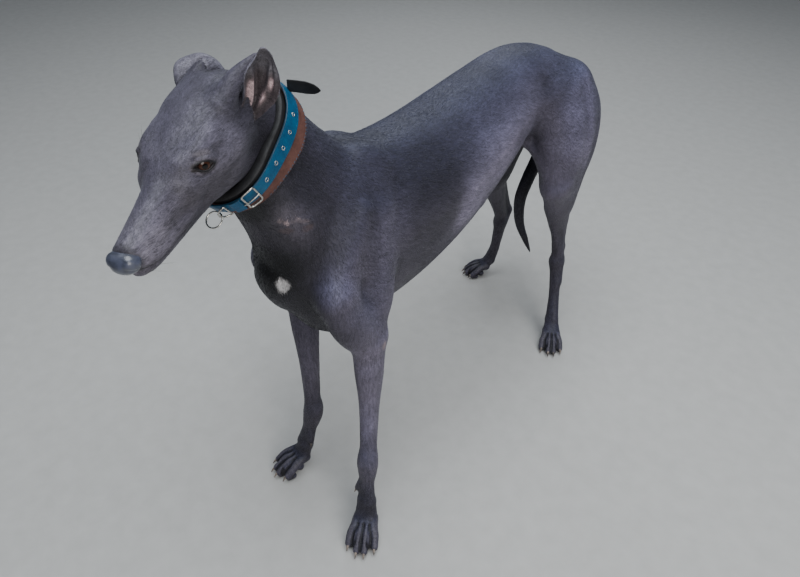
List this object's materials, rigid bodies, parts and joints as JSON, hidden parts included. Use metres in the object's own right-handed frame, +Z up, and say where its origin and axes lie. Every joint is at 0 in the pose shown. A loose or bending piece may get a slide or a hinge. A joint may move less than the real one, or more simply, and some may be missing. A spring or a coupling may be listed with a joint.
{
  "type": "greyhound figure",
  "caption": "Life-size standing greyhound with a slate-grey coat, head low and turned to its left, half-pricked ears, tail down, in a buckled leather collar.",
  "frame": {"origin": "middle of the whole dog's bounding box, on the floor under its paws", "axes": "+Z up, the dog's body faces -Y with its tail end toward +Y, and its left side is at +X"},
  "size_m": [0.3778, 1.0804, 0.8643],
  "materials": {
    "coat": "short close slate-grey coat with a soft sheen",
    "dark_coat": "short near-black coat of the tail",
    "nose_leather": "dark pebbled nose skin, slightly moist",
    "eye": "wet amber-brown eye with a dark pupil",
    "claw_horn": "dull grey-brown horn",
    "blue_leather": "teal-blue dyed leather, satin",
    "brown_leather": "plain brown leather, matt",
    "black_leather": "black leather, matt",
    "steel": "nickel-plated steel wire"
  },
  "bodies": {
    "root": {"buckle_frame": "steel", "buckle_prong": "steel", "chest": "coat", "claw_fore_left_1": "claw_horn", "claw_fore_left_2": "claw_horn", "claw_fore_left_3": "claw_horn", "claw_fore_left_4": "claw_horn", "claw_fore_right_1": "claw_horn", "claw_fore_right_2": "claw_horn", "claw_fore_right_3": "claw_horn", "claw_fore_right_4": "claw_horn", "claw_hind_left_1": "claw_horn", "claw_hind_left_2": "claw_horn", "claw_hind_left_3": "claw_horn", "claw_hind_left_4": "claw_horn", "claw_hind_right_1": "claw_horn", "claw_hind_right_2": "claw_horn", "claw_hind_right_3": "claw_horn", "claw_hind_right_4": "claw_horn", "collar_backing": "black_leather", "collar_dee": "steel", "collar_keeper": "blue_leather", "collar_lining": "brown_leather", "collar_ring": "steel", "collar_strap": "blue_leather", "dewclaw_left": "claw_horn", "dewclaw_right": "claw_horn", "ear_left": "coat", "ear_right": "coat", "eye_left": "eye", "eye_right": "eye", "fore_paw_left": "coat", "fore_paw_right": "coat", "forearm_left": "coat", "forearm_right": "coat", "head": "coat", "hind_paw_left": "coat", "hind_paw_right": "coat", "loin": "coat", "lower_leg_left": "coat", "lower_leg_right": "coat", "neck": "coat", "nose": "nose_leather", "rump": "coat", "strap_tip": "black_leather", "tail": "dark_coat", "thigh_left": "coat", "thigh_right": "coat"}
  },
  "joints": []
}
